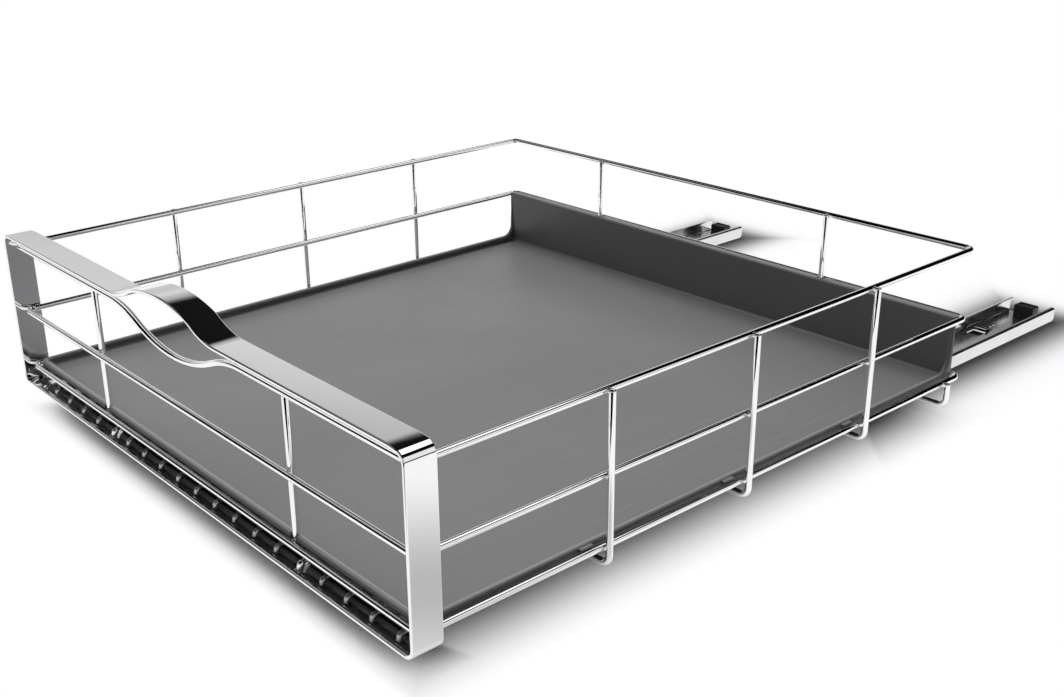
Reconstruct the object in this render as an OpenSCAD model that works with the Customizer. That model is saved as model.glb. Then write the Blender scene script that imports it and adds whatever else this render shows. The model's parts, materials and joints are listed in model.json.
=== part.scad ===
// Pull-out cabinet basket on two ball-bearing slides, shown about half open.
// +Z is up, the basket pulls out towards -Y, and +X is the right-hand side seen from the front.
// The origin is on the cabinet floor, under the middle of the basket and slides together.

/* [Basket] */
// Width of the front frame
basket_w = 508; // [420:2:600]
// Depth from the front of the frame to the back of the rim wires
basket_d = 518; // [470:2:560]
// Height of the front frame beside the handle
frame_h = 122; // [105:1:160]
// Thickness of the rim wires, hoops and runners
wire_d = 4.5; // [3.5:0.1:6]
// Height of the top rim wire's centre above the frame's underside
top_rim_z = 111.3; // [95:0.5:114]
// Height of the middle rim wire's centre above the frame's underside
mid_rim_z = 58.6; // [45:0.5:75]
// Height of the bottom rim wire's centre above the frame's underside
low_rim_z = 12.5; // [12:0.5:18]
// Distance from the front of the frame to the centre of the rims' front wires
rim_front_y = 8.6; // [6:0.1:11]
// Inner bend radius of the rims' corners
rim_bend_r = 4; // [3:0.5:10]
// Inner bend radius of the hoops and runners
hoop_bend_r = 4; // [3:0.5:8]
// Distance between neighbouring hoops, counted from the back
hoop_pitch = 124.3; // [100:0.1:140]
// How far the hoops' and runners' ends stand above the rim they are welded to
wire_overrun = 1.5; // [0.5:0.5:4]
// Distance from the back rim to the low hoop that the slides carry
low_hoop_inset = 22; // [18:1:40]

/* [Front frame and handle] */
// Width of the flat strip, front to back
strip_w = 21; // [16:1:30]
// Thickness of the flat strip
strip_t = 2.5; // [2:0.1:4]
// Outer radius of the frame's four corners
corner_r = 8; // [5:0.5:14]
// Radius of the handle's crown
crown_r = 130; // [100:5:160]
// Angle of the crown at its ends
crown_a = 15; // [12:1:18]
// Radius of the shoulders beside the crown
shoulder_r = 40; // [25:1:60]
// Steepest angle of the handle's flanks
flank_a = 26; // [22:1:32]
// Length of the straight part of each flank
flank_len = 3; // [1:0.5:8]
// Radius where the flanks run out into the frame
toe_r = 60; // [40:1:80]
// How far the top rim dips under the handle
dip_depth = 17.5; // [10:0.5:24]
// Half the length of the dip
dip_half = 85; // [70:1:100]

/* [Floor wires] */
// Thickness of the floor wires
floor_wire_d = 4; // [3:0.1:4.5]
// Bays between the middle wire and the rim on each side
half_bays = 10; // [9:1:11]
// Bays between the middle wire and each runner
runner_bays = 5; // [4:1:6]

/* [Liner] */
// Thickness of the liner's floor
liner_t = 2; // [1.5:0.1:3]
// Thickness of the liner's walls and lips
liner_wall = 2.5; // [2:0.1:3.5]
// Height of the front and side lips above the frame's underside
lip_z = 18; // [17:0.5:24]
// Radius between the liner's floor and its walls
liner_fillet = 6; // [3:0.5:6]
// Radius where the side lips run up into the back wall
gusset_r = 14; // [8:1:20]
// How far the back wall's flange reaches over the middle rim
flange_w = 9.5; // [5:0.5:12]
// Length of the clips that hook over the bottom rim
clip_len = 10; // [6:1:16]
// Distance from each hoop forward to its clip
clip_inset = 13; // [9:1:20]

/* [Slides] */
// Length of the slides, closed
slide_len = 500; // [480:5:550]
// Width of a slide
slide_w = 43; // [42:0.5:50]
// Height of a slide
slide_h = 12.7; // [12.7:0.1:15]
// Distance between the middles of the two slides
slide_spacing = 355; // [300:1:380]
// Thickness of the slides' sheet steel
steel_t = 1.2; // [1:0.1:1.4]
// Distance from the front of the frame to the front end of the closed slides
slide_inset = 30; // [26:1:36]
// Gap between the top of the slides and the underside of the frame
slide_gap = 7.6; // [7.4:0.1:12]
// Travel from shut to fully open
travel = 500; // [480:1:505]
// How far the basket is pulled out as it is shown
shown_open = 230; // [100:1:260]
// Width of the lips that fold in over the outer balls
channel_lip = 2.5; // [1.5:0.1:3]
// Width of the lips that fold in over the inner balls
middle_lip = 2; // [1:0.1:2.5]
// Length of the middle members
middle_len = 420; // [400:5:425]
// Distance from the channel's front end to the middle member's, closed
middle_inset = 9; // [6:1:12]
// Diameter of the bearing balls
ball_d = 3.4; // [3:0.1:3.6]
// Balls in each row of a cage
balls_per_row = 8; // [6:1:9]
// Thickness of the cages' bases
cage_t = 0.6; // [0.5:0.1:0.7]
// Thickness of the cages' sides, which hold the balls
cage_side_t = 0.8; // [0.6:0.1:1]
// Length of the outer cages
outer_cage_len = 175; // [150:1:175]
// Length of the inner cages
inner_cage_len = 205; // [170:1:205]
// Radius of the screw holes in the channels
screw_hole_r = 2.4; // [2:0.1:3]
// Distance from the channel's front end to the first screw hole
screw_hole_inset = 40; // [30:1:60]
// Distance between a channel's two screw holes
screw_hole_pitch = 290; // [250:5:320]

/* [Stops, clamps and brackets] */
// Width of the rear stop blocks
stop_w = 18; // [12:1:22]
// Length of the rear stop blocks
stop_len = 12; // [8:1:14]
// Distance from the rear stop blocks to the channel's end
stop_inset = 4; // [3:1:8]
// Side of the square hole in the channel's base, and of the tongue behind it
tongue_w = 12; // [8:1:14]
// How far the tongue rises
tongue_rise = 3; // [2:0.1:3]
// Thickness of the clamps' base under the low hoop
clamp_base_t = 1.6; // [1.2:0.1:3]
// Length of the clamps, front to back
clamp_len = 30; // [26:1:34]
// Width of the clamps
clamp_w = 20; // [14:1:21]
// Thickness of the front brackets
bracket_t = 1.5; // [1.2:0.1:2]
// Width of the front brackets
bracket_w = 20; // [14:1:21]
// Length of the front brackets' foot on the slides
bracket_foot = 38; // [32:1:50]
// Thread diameter of the clamps' and brackets' screws
fixing_d = 4; // [3:0.1:4]
// Diameter of the same screws' heads
fixing_head_d = 7.5; // [6:0.1:8]
// Height of the same screws' heads
fixing_head_h = 2.4; // [1.5:0.1:3]

/* [Clearances] */
// Gap between welded wires, and between a wire and the frame
weld_gap = 0.1; // [0.05:0.05:0.3]
// Gap round a piece that lies in or on another without moving
seat_gap = 0.3; // [0.2:0.05:0.5]
// Gap between pieces of the slides that move past each other
run_gap = 0.3; // [0.25:0.05:0.35]
// Gap round a screw or wire in its hole
hole_gap = 0.15; // [0.1:0.05:0.3]

/* [Hidden] */
$fn = 48;
ARC_STEP = 3;
CUT = 1;
// The joints of the dip's arcs are this much thicker than the wire
JOINT_SWELL = 0.04;

// Whole part
total_d = slide_inset + shown_open + slide_len;
basket_z = slide_h + slide_gap;
middle_open = shown_open / 2;
outer_cage_open = shown_open / 4;
inner_cage_open = shown_open * 3 / 4;

// Rims, hoops, runners and floor wires, in the basket's own heights
wire_r = wire_d / 2;
rim_x = basket_w / 2 - strip_t - weld_gap - wire_r;
rim_back_y = basket_d - wire_r;
weld_pitch = wire_d + weld_gap;
hoop_x = rim_x + weld_pitch;
runner_front_y = rim_front_y + weld_pitch;
runner_back_y = rim_back_y - weld_pitch;
runner_z = wire_r + weld_pitch;
floor_pitch = rim_x / half_bays;
runner_x = runner_bays * floor_pitch;
floor_weld = (wire_d + floor_wire_d) / 2 + weld_gap;
floor_wire_z = wire_r + floor_weld;
low_hoop_y = rim_back_y - low_hoop_inset;
low_hoop_z = clamp_base_t + hole_gap + wire_r - slide_gap;

// Handle
shoulder_x = (crown_r - shoulder_r) * sin(crown_a);
flank_x = shoulder_x + shoulder_r * sin(flank_a);
toe_x = flank_x + flank_len * cos(flank_a) + toe_r * sin(flank_a);
handle_rise = (crown_r - shoulder_r) * (1 - cos(crown_a)) + (shoulder_r + toe_r) * (1 - cos(flank_a))
    + flank_len * sin(flank_a);
dip_a = 2 * atan(dip_depth / dip_half);
dip_radii = dip_half / sin(dip_a);
dip_r = 0.6 * dip_radii;
dip_toe_r = dip_radii - dip_r;

// Liner
liner_x = rim_x - wire_r - seat_gap;
liner_front = rim_front_y + wire_r + floor_wire_d + weld_gap + seat_gap;
liner_back = runner_back_y - wire_r - seat_gap;
liner_z = runner_z + wire_r + seat_gap;
flange_z = mid_rim_z + wire_r + seat_gap;
clip_z = low_rim_z + wire_r + seat_gap;
notch_w = wire_d + 2;

// Slides, measured from the middle and the underside of one slide
channel_front = slide_inset + shown_open;
cavity_x = slide_w / 2 - steel_t;
ball_space = ball_d + 2 * run_gap;
middle_x = cavity_x - ball_space;
middle_in_x = middle_x - steel_t;
drawer_x = middle_in_x - ball_space;
outer_ball_x = cavity_x - ball_space / 2;
inner_ball_x = middle_in_x - ball_space / 2;
outer_cage_z = steel_t + run_gap;
middle_z = outer_cage_z + cage_t + run_gap;
middle_top = slide_h - steel_t - run_gap;
inner_cage_z = middle_z + steel_t + run_gap;
drawer_z = inner_cage_z + cage_t + run_gap;
outer_ball_z = slide_h / 2;
inner_ball_z = (middle_z + middle_top) / 2;
outer_cage_top = slide_h - steel_t - run_gap;
inner_cage_top = middle_top - steel_t - run_gap;
middle_front = channel_front + middle_inset;
cage_room = channel_front + travel / 4;
outer_cage_front = cage_room + run_gap;
inner_cage_front = middle_front + travel / 4 + run_gap + CUT;
stop_front = channel_front + slide_len - stop_inset - stop_len;
drawer_len = stop_front - run_gap - channel_front;
tongue_front = middle_front + middle_len + run_gap;
tongue_x = -slide_w / 5;
clamp_top = clamp_base_t + hole_gap + wire_d + hole_gap + clamp_base_t;

// Sides and their names
SIDES = [["left", -1], ["right", 1]];
FLOOR_BAYS = [for (i = [1 - half_bays:half_bays - 1]) if (abs(i) != runner_bays) i];
PAIRED = ["channel", "rear_stop", "middle_member", "outer_cage", "outer_balls", "inner_cage",
    "inner_balls", "drawer_member", "rear_clamp", "front_bracket", "runner"];
SINGLE = ["front_frame", "top_rim", "middle_rim", "bottom_rim", "hoop_1", "hoop_2", "hoop_3",
    "low_hoop", "liner_tray", "clamp_screws", "bracket_screws"];

steel = [0.80, 0.80, 0.82];
zinc = [0.72, 0.73, 0.75];
cage_steel = [0.60, 0.61, 0.63];
grey_plastic = [0.42, 0.43, 0.45];
black_plastic = [0.05, 0.05, 0.05];

// ---------------------------------------------------------------- shared shapes

// Points of an arc round c, from angle a to angle b
function arc(c, r, a, b) =
    let (n = max(2, ceil(abs(b - a) / ARC_STEP)))
    [for (i = [0:n]) c + r * [cos(a + (b - a) * i / n), sin(a + (b - a) * i / n)]];

// The same points, mirrored left to right and in the reverse order
function mirrored(points) =
    [for (i = [len(points) - 1:-1:0]) [-points[i][0], points[i][1]]];

// Direction of a path's straight from point i to the next one
function heading(path, i) =
    let (step = path[(i + 1) % len(path)] - path[i])
    atan2(step[1], step[0]);

// Signed turn of a path at point i, between -180 and 180 degrees
function turn(path, i) =
    let (t = heading(path, i) - heading(path, (i + len(path) - 1) % len(path)))
    t > 180 ? t - 360 : t < -180 ? t + 360 : t;

// Length that the bend at point i takes from each straight beside it
function bend_cut(path, i, r) = r * tan(abs(turn(path, i)) / 2);

// A wire bent along a flat path in the XY plane; r is the bend radius of its centre line
module bent_wire(path, r, d, closed = false) {
    n = len(path);
    for (i = [0:closed ? n - 1 : n - 2]) {
        step = path[(i + 1) % n] - path[i];
        cut_a = closed || i > 0 ? bend_cut(path, i, r) : 0;
        cut_b = closed || i < n - 2 ? bend_cut(path, (i + 1) % n, r) : 0;
        translate(path[i])
            rotate([0, 90, heading(path, i)])
                translate([0, 0, cut_a])
                    cylinder(h = norm(step) - cut_a - cut_b, d = d);
    }
    for (i = [closed ? 0 : 1:closed ? n - 1 : n - 2]) {
        t = turn(path, i);
        from = heading(path, (i + n - 1) % n);
        side = t > 0 ? 1 : -1;
        back = bend_cut(path, i, r) * [cos(from), sin(from)];
        middle = path[i] - back + side * r * [-sin(from), cos(from)];
        translate(middle)
            rotate([0, 0, side > 0 ? from - 90 : from + 90 + t])
                wire_arc(r, abs(t), d);
    }
}

// Part of a ring of wire in the XY plane, from angle 0
module wire_arc(r, angle, d)
    rotate_extrude(angle = angle)
        translate([r, 0])
            circle(d = d);

// Turns flat shapes upright: the XY plane becomes the XZ plane at y
module upright_across(y)
    translate([0, y, 0])
        rotate([90, 0, 0])
            children();

// Turns flat shapes upright: the XY plane becomes the YZ plane at x
module upright_along(x)
    translate([x, 0, 0])
        rotate([90, 0, 90])
            children();

// Places the front of the basket as it is shown, at the height of the frame's underside
module in_basket()
    translate([0, -total_d / 2, basket_z])
        children();

// Places what belongs to one slide; side is -1 for the left one and 1 for the right one
module in_slide(side)
    translate([side * slide_spacing / 2, -total_d / 2, 0])
        mirror([side < 0 ? 1 : 0, 0, 0])
            children();

// A flat profile drawn in X and Z, run along Y
module along_slide(front, length)
    translate([0, front + length, 0])
        rotate([90, 0, 0])
            linear_extrude(length)
                children();

// A rectangle with its lower corners rounded, standing on Y = 0 and centred on X = 0
module tub_profile(half_w, h, r) {
    translate([-half_w, r])
        square([2 * half_w, h - r]);
    translate([-half_w + r, 0])
        square([2 * (half_w - r), h]);
    for (s = [-1, 1])
        translate([s * (half_w - r), r])
            circle(r = r);
}

// An open channel of sheet steel whose two sides fold in at the top
module channel_profile(half_w, h, lip, r)
    difference() {
        tub_profile(half_w, h, r);
        translate([0, steel_t])
            tub_profile(half_w - steel_t, h - 2 * steel_t, r - steel_t);
        translate([-(half_w - steel_t - lip), h / 2])
            square([2 * (half_w - steel_t - lip), h]);
    }

// ---------------------------------------------------------------- wire basket

// Outline of the front frame's strip, set in by t from its outer face
function frame_outline(t) =
    let (
        x = basket_w / 2 - corner_r,
        r = corner_r - t,
        crown = [0, frame_h + handle_rise - crown_r],
        shoulder = [shoulder_x, frame_h + handle_rise - crown_r + (crown_r - shoulder_r) * cos(crown_a)],
        toe = [toe_x, frame_h + toe_r],
        half = concat(
            arc([x, corner_r], r, -90, 0),
            arc([x, frame_h - corner_r], r, 0, 90),
            arc(toe, toe_r + t, -90, -90 - flank_a),
            arc(shoulder, shoulder_r - t, 90 - flank_a, 90 - crown_a),
            arc(crown, crown_r - t, 90 - crown_a, 90)))
    concat(half, mirrored(half));

// Closed loop of flat strip whose top run swells up into the handle
module front_frame()
    color(steel)
        in_basket()
            upright_across(strip_w)
                linear_extrude(strip_w)
                    difference() {
                        polygon(frame_outline(0));
                        polygon(frame_outline(strip_t));
                    }

// Corners of the rims, seen from above
function rim_corners() = [
    [-rim_x, rim_front_y],
    [rim_x, rim_front_y],
    [rim_x, rim_back_y],
    [-rim_x, rim_back_y]];

// Closed rectangular loop of wire at height z
module rim(z)
    color(steel)
        in_basket()
            translate([0, 0, z])
                bent_wire(rim_corners(), rim_bend_r + wire_r, wire_d, closed = true);

// The top rim's dip, drawn in X and Z round the rim's own height
module dip_wire() {
    translate([0, dip_r - dip_depth])
        rotate([0, 0, -90 - dip_a])
            wire_arc(dip_r, 2 * dip_a, wire_d);
    for (side = [-1, 1]) {
        translate([side * dip_half, -dip_toe_r])
            rotate([0, 0, side > 0 ? 90 : 90 - dip_a])
                wire_arc(dip_toe_r, dip_a, wire_d);
        for (joint = [[dip_half, 0], [dip_r * sin(dip_a), dip_r * (1 - cos(dip_a)) - dip_depth]])
            translate([side * joint[0], joint[1]])
                sphere(d = wire_d + JOINT_SWELL);
    }
}

// The top rim, whose front wire dips under the handle
module top_rim() {
    corners = rim_corners();
    path = concat([[dip_half, rim_front_y]], [corners[1], corners[2], corners[3], corners[0]],
        [[-dip_half, rim_front_y]]);
    color(steel)
        in_basket()
            translate([0, 0, top_rim_z]) {
                bent_wire(path, rim_bend_r + wire_r, wire_d);
                upright_across(rim_front_y)
                    dip_wire();
            }
}

// U-shaped wire round the outside of the rims and across under the floor
module hoop(y, z, top)
    color(steel)
        in_basket()
            upright_across(y)
                bent_wire([[-hoop_x, top], [-hoop_x, z], [hoop_x, z], [hoop_x, top]],
                    hoop_bend_r + wire_r, wire_d);

// Full-height hoops are counted from the front
module full_hoop(number)
    hoop(rim_back_y - (4 - number) * hoop_pitch, wire_r, top_rim_z + wire_overrun);

// The low hoop reaches only up to the bottom rim
module low_hoop()
    hoop(low_hoop_y, low_hoop_z, low_rim_z + wire_overrun);

// Long U-shaped wire inside the rims, front to back on top of the hoops
module runner(side) {
    top = top_rim_z + wire_overrun;
    path = [[runner_front_y, top], [runner_front_y, runner_z], [runner_back_y, runner_z],
        [runner_back_y, top]];
    color(steel)
        in_basket()
            upright_along(side * runner_x)
                bent_wire(path, hoop_bend_r + wire_r, wire_d);
}

// Straight wire of the floor, with both ends turned up behind the bottom rim
module floor_wire(number) {
    front = rim_front_y + floor_weld;
    back = rim_back_y - floor_weld;
    path = [[front, low_rim_z], [front, floor_wire_z], [back, floor_wire_z], [back, low_rim_z]];
    color(steel)
        in_basket()
            upright_along(FLOOR_BAYS[number - 1] * floor_pitch)
                bent_wire(path, floor_wire_d / 2 + 0.5, floor_wire_d);
}

// ---------------------------------------------------------------- liner

// Fillet in a corner along X, filling the corner at the origin towards +Y and +Z
module long_fillet(length, r)
    translate([-length / 2, 0, 0])
        difference() {
            translate([0, -CUT, -CUT])
                cube([length, r + CUT, r + CUT]);
            translate([-CUT, r, r])
                rotate([0, 90, 0])
                    cylinder(h = length + 2 * CUT, r = r);
        }

// Grey tray: floor, low lips at the front and sides, tall back wall that hooks over the middle rim
module liner_tray() {
    width = 2 * liner_x;
    depth = liner_back - liner_front;
    floor_top = liner_z + liner_t;
    wall_top = flange_z + liner_t;
    color(grey_plastic)
        in_basket()
            difference() {
                union() {
                    translate([-liner_x, liner_front, liner_z])
                        cube([width, depth, liner_t]);
                    translate([-liner_x, liner_front, liner_z])
                        cube([width, liner_wall, lip_z - liner_z]);
                    translate([-liner_x, liner_back - liner_wall, liner_z])
                        cube([width, liner_wall, wall_top - liner_z]);
                    translate([-liner_x, liner_back - liner_wall, flange_z])
                        cube([width, liner_wall + flange_w, liner_t]);
                    translate([0, liner_front + liner_wall, floor_top])
                        long_fillet(width, liner_fillet);
                    translate([0, liner_back - liner_wall, floor_top])
                        mirror([0, 1, 0])
                            long_fillet(width, liner_fillet);
                    for (side = [0, 1])
                        mirror([side, 0, 0])
                            liner_side(depth, floor_top);
                }
                liner_notches();
            }
}

// One side lip with its fillet, its clips and the curve that joins it to the back wall
module liner_side(depth, floor_top) {
    translate([liner_x - liner_wall, liner_front, liner_z])
        cube([liner_wall, depth, lip_z - liner_z]);
    translate([liner_x - liner_wall, liner_front + depth / 2, floor_top])
        rotate([0, 0, 90])
            long_fillet(depth, liner_fillet);
    translate([liner_x - liner_wall, liner_back - liner_wall, lip_z])
        difference() {
            translate([0, -gusset_r, -CUT])
                cube([liner_wall, gusset_r + CUT, gusset_r + CUT]);
            translate([-CUT, -gusset_r, gusset_r])
                rotate([0, 90, 0])
                    cylinder(h = liner_wall + 2 * CUT, r = gusset_r);
        }
    for (number = [1:3])
        translate([liner_x - liner_wall, rim_back_y - number * hoop_pitch - clip_inset - clip_len / 2, clip_z])
            cube([liner_wall + seat_gap + wire_r, clip_len, lip_z - clip_z]);
}

// Cuts that let the runners pass the front lip and the back wall's flange
module liner_notches()
    for (side = [-1, 1]) {
        translate([side * runner_x - notch_w / 2, liner_front - CUT, liner_z - CUT])
            cube([notch_w, liner_wall + CUT + liner_fillet / 2, lip_z]);
        translate([side * runner_x - notch_w / 2, runner_back_y - wire_r - seat_gap, flange_z - CUT])
            cube([notch_w, flange_w + 2 * CUT + wire_d, liner_t + 2 * CUT]);
    }

// ---------------------------------------------------------------- slides

// Cabinet member: an open channel screwed to the cabinet floor
module channel(side)
    color(zinc)
        in_slide(side) {
            difference() {
                along_slide(channel_front, slide_len)
                    channel_profile(slide_w / 2, slide_h, channel_lip, 2);
                for (y = [screw_hole_inset, screw_hole_inset + screw_hole_pitch])
                    translate([0, channel_front + y, -CUT])
                        cylinder(h = steel_t + 2 * CUT, r = screw_hole_r);
                translate([tongue_x - tongue_w / 2, tongue_front - tongue_w, -CUT])
                    cube([tongue_w, tongue_w, steel_t + 2 * CUT]);
            }
            tongue();
        }

// Tongue bent up out of the channel's base, which stops the middle member
module tongue() {
    profile = [[0, steel_t / 2], [0, steel_t + tongue_rise - 0.4], [steel_t, steel_t + tongue_rise],
        [tongue_w, steel_t], [tongue_w, steel_t / 2]];
    translate([tongue_x - tongue_w / 2, tongue_front, 0])
        rotate([90, 0, 90])
            linear_extrude(tongue_w)
                polygon(profile);
}

// Black block at the back of the channel, where the drawer member comes to rest
module rear_stop(side) {
    chamfer = 1.5;
    top = slide_h - seat_gap - steel_t;
    profile = [[0, 0], [stop_len, 0], [stop_len, top - chamfer], [stop_len - chamfer, top],
        [chamfer, top], [0, top - chamfer]];
    color(black_plastic)
        in_slide(side)
            translate([-stop_w / 2, stop_front, steel_t])
                rotate([90, 0, 90])
                    linear_extrude(stop_w)
                        polygon(profile);
}

// Middle member: runs in the channel on the outer balls
module middle_member(side)
    color(zinc)
        in_slide(side)
            translate([0, 0, middle_z])
                along_slide(middle_front - middle_open, middle_len)
                    channel_profile(middle_x, middle_top - middle_z, middle_lip, 1.6);

// Drawer member: a downward channel that runs in the middle member on the inner balls
module drawer_member(side)
    color(zinc)
        in_slide(side)
            difference() {
                along_slide(slide_inset, drawer_len)
                    difference() {
                        translate([-drawer_x, drawer_z])
                            square([2 * drawer_x, slide_h - drawer_z]);
                        translate([-(drawer_x - steel_t), drawer_z - CUT])
                            square([2 * (drawer_x - steel_t), slide_h - drawer_z - steel_t + CUT]);
                    }
                for (y = fixing_places())
                    translate([0, y, drawer_z])
                        cylinder(h = slide_h, d = fixing_d + 2 * hole_gap);
            }

// Distances of the drawer members' screws from the front of the frame
function fixing_places() = concat(clamp_screw_places(), bracket_screw_places());

function clamp_screw_places() = [for (s = [-1, 1]) low_hoop_y + s * clamp_screw_offset()];

function clamp_screw_offset() = wire_r + fixing_head_d / 2 + 1;

function bracket_screw_places() = [for (s = [1, 3]) slide_inset + s * bracket_foot / 5];

// Place of a cage's ball number i, from the cage's front end
function ball_y(i, cage_len) = cage_len * (i + 0.5) / balls_per_row;

// Bent sheet that keeps two rows of balls apart; x is where its sides stand
module cage(x, bottom, top, cage_len, ball_z)
    difference() {
        along_slide(0, cage_len)
            difference() {
                translate([-x - cage_side_t / 2, bottom])
                    square([2 * x + cage_side_t, top - bottom]);
                translate([-x + cage_side_t / 2, bottom + cage_t])
                    square([2 * x - cage_side_t, top]);
            }
        for (i = [0:balls_per_row - 1])
            translate([0, ball_y(i, cage_len), ball_z])
                rotate([0, 90, 0])
                    cylinder(h = slide_w, d = ball_d + 2 * hole_gap, center = true);
    }

// Two rows of balls at x on either side of the slide's middle
module ball_rows(x, cage_len, ball_z)
    for (s = [-1, 1])
        for (i = [0:balls_per_row - 1])
            translate([s * x, ball_y(i, cage_len), ball_z])
                sphere(d = ball_d);

// Outer cages run between the channel and the middle member
module outer_cage(side)
    color(cage_steel)
        in_slide(side)
            translate([0, outer_cage_front - outer_cage_open, 0])
                cage(outer_ball_x, outer_cage_z, outer_cage_top, outer_cage_len, outer_ball_z);

module outer_balls(side)
    color(steel)
        in_slide(side)
            translate([0, outer_cage_front - outer_cage_open, 0])
                ball_rows(outer_ball_x, outer_cage_len, outer_ball_z);

// Inner cages run between the middle member and the drawer member
module inner_cage(side)
    color(cage_steel)
        in_slide(side)
            translate([0, inner_cage_front - inner_cage_open, 0])
                cage(inner_ball_x, inner_cage_z, inner_cage_top, inner_cage_len, inner_ball_z);

module inner_balls(side)
    color(steel)
        in_slide(side)
            translate([0, inner_cage_front - inner_cage_open, 0])
                ball_rows(inner_ball_x, inner_cage_len, inner_ball_z);

// ---------------------------------------------------------------- clamps, brackets and screws

// Block on the drawer member that holds the low hoop
module rear_clamp(side)
    color(black_plastic)
        in_slide(side)
            difference() {
                translate([-clamp_w / 2, low_hoop_y - clamp_len / 2, slide_h])
                    cube([clamp_w, clamp_len, clamp_top]);
                translate([0, low_hoop_y, basket_z + low_hoop_z])
                    rotate([0, 90, 0])
                        cylinder(h = 2 * clamp_w, d = wire_d + 2 * hole_gap, center = true);
                for (y = clamp_screw_places())
                    translate([0, y, slide_h - CUT])
                        cylinder(h = clamp_top + 2 * CUT, d = fixing_d + 2 * hole_gap);
            }

// Stepped bracket from the underside of the front frame down to the drawer member
module front_bracket(side) {
    lift = slide_gap;
    face = strip_w + seat_gap;
    profile = [[strip_w / 5, lift - bracket_t], [face, lift - bracket_t], [face, 0],
        [slide_inset + bracket_foot, 0], [slide_inset + bracket_foot, bracket_t],
        [face + bracket_t, bracket_t], [face + bracket_t, lift], [strip_w / 5, lift]];
    color(zinc)
        in_slide(side)
            difference() {
                translate([-bracket_w / 2, 0, slide_h])
                    rotate([90, 0, 90])
                        linear_extrude(bracket_w)
                            polygon(profile);
                for (y = bracket_screw_places())
                    translate([0, y, slide_h - CUT])
                        cylinder(h = bracket_t + 2 * CUT, d = fixing_d + 2 * hole_gap);
            }
}

// Pan-head screw whose head rests on z = 0
module fixing(grip) {
    cylinder(h = fixing_head_h, d = fixing_head_d);
    translate([0, 0, -grip])
        cylinder(h = grip + CUT, d = fixing_d);
}

// The four screws through the rear clamps
module clamp_screws()
    color(steel)
        for (s = SIDES)
            in_slide(s[1])
                for (y = clamp_screw_places())
                    translate([0, y, slide_h + clamp_top])
                        fixing(clamp_top + steel_t + 1);

// The four screws through the front brackets' feet
module bracket_screws()
    color(steel)
        for (s = SIDES)
            in_slide(s[1])
                for (y = bracket_screw_places())
                    translate([0, y, slide_h + bracket_t])
                        fixing(bracket_t + steel_t + 1);

// ---------------------------------------------------------------- nodes

front_frame();
top_rim();
rim(mid_rim_z);  // middle_rim
rim(low_rim_z);  // bottom_rim
full_hoop(1);  // hoop_1
full_hoop(2);  // hoop_2
full_hoop(3);  // hoop_3
low_hoop();
liner_tray();
clamp_screws();
bracket_screws();
for (s = SIDES) {
    channel(s[1]);
    rear_stop(s[1]);
    middle_member(s[1]);
    outer_cage(s[1]);
    outer_balls(s[1]);
    inner_cage(s[1]);
    inner_balls(s[1]);
    drawer_member(s[1]);
    rear_clamp(s[1]);
    front_bracket(s[1]);
    runner(s[1]);
}
for (i = [1:len(FLOOR_BAYS)])
    floor_wire(i);
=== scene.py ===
import json
import math

import bmesh
import bpy
from mathutils import Matrix, Vector


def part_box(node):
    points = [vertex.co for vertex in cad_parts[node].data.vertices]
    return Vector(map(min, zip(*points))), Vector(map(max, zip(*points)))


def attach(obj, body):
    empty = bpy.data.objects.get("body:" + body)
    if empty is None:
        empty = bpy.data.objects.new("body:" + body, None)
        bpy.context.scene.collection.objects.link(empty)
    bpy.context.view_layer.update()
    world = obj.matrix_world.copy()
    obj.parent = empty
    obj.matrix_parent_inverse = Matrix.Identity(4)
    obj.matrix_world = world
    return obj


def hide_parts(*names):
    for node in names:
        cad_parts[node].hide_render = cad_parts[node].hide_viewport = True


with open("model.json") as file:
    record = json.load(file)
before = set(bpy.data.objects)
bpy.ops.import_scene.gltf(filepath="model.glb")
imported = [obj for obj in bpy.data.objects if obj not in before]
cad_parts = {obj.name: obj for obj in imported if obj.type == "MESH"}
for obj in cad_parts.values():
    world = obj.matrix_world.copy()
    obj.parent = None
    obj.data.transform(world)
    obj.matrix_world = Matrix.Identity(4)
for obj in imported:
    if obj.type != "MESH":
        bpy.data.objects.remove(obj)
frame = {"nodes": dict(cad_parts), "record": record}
for leftOver in ("Cube", "Light", "Camera"):
    if leftOver in bpy.data.objects:
        bpy.data.objects.remove(bpy.data.objects[leftOver])
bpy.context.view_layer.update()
print("frame loaded:", len(frame["nodes"]), "nodes")


# what every piece is made with

mm = 0.001
bothSides = (-1, 1)
floorPitch = 24.915
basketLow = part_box("front_frame")[0]


def inBasket(x, y, z):
    # millimetres from the middle of the front frame's lower front edge
    return Vector((x * mm, basketLow.y + y * mm, basketLow.z + z * mm))


def inCabinet(x, y, z):
    # millimetres from the frame's origin on the cabinet floor
    return Vector((x * mm, y * mm, z * mm))


def near(value, goal, slack=0.02):
    return abs(value - goal) < slack * mm


def makeActive(piece):
    bpy.ops.object.select_all(action="DESELECT")
    piece.select_set(True)
    bpy.context.view_layer.objects.active = piece


def applyPlace():
    bpy.ops.object.transform_apply(location=True, rotation=True, scale=True)


def settle(name):
    # names the new object and puts its place into its mesh
    piece = bpy.context.object
    piece.name = name
    piece.data.name = name
    applyPlace()
    return piece


def selectAll():
    bpy.ops.mesh.select_all(action="SELECT")


def edit(piece, kind="EDGE"):
    # opens the mesh with all of it selected
    makeActive(piece)
    bpy.ops.object.mode_set(mode="EDIT")
    bpy.ops.mesh.select_mode(type=kind)
    selectAll()


def done():
    bpy.ops.object.mode_set(mode="OBJECT")


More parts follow.
